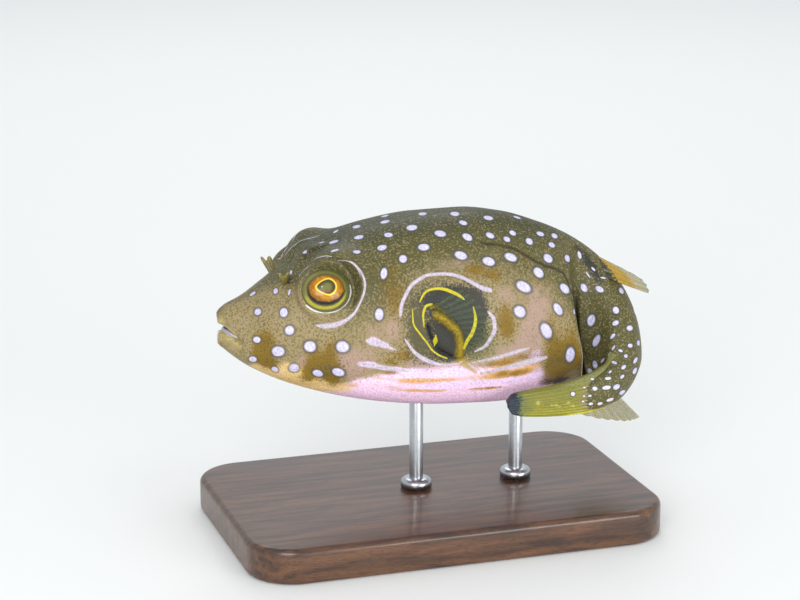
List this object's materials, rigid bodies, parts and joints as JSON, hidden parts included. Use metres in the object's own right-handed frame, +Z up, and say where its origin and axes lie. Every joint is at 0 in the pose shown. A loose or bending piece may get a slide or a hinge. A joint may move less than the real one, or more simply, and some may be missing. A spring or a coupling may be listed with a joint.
{
  "type": "white-spotted pufferfish model",
  "caption": "Life-size still model of a young white-spotted pufferfish with its tail curled round to its left, on a small wooden display stand",
  "frame": {"origin": "centre of the underside of the stand's base", "axes": "+Z up; the fish looks along -X and its left flank faces -Y"},
  "size_m": [0.0733, 0.046, 0.0542],
  "materials": {
    "skin": "wet scaleless fish skin, olive brown with white spots and a pale striped belly",
    "fin": "yellow-olive fin with soft rays",
    "clear_fin": "nearly clear fin membrane with fine yellowish rays",
    "eye": "glossy eye with an orange iris",
    "tooth": "smooth enamel beak plate",
    "stand_wood": "dark walnut, satin varnish",
    "stand_steel": "brushed stainless steel"
  },
  "bodies": {
    "root": {"head": "skin", "trunk": "skin", "tail_root": "skin", "tail_stalk": "skin", "caudal_fin": "fin", "dorsal_fin": "fin", "anal_fin": "clear_fin", "pectoral_fin_left": "clear_fin", "pectoral_fin_right": "clear_fin", "nasal_flap_left": "skin", "nasal_flap_right": "skin", "eye_left": "eye", "eye_right": "eye", "teeth_upper": "tooth", "teeth_lower": "tooth", "stand_base": "stand_wood", "stand_rod_front": "stand_steel", "stand_rod_rear": "stand_steel", "stand_ferrule_front": "stand_steel", "stand_ferrule_rear": "stand_steel"}
  },
  "joints": []
}
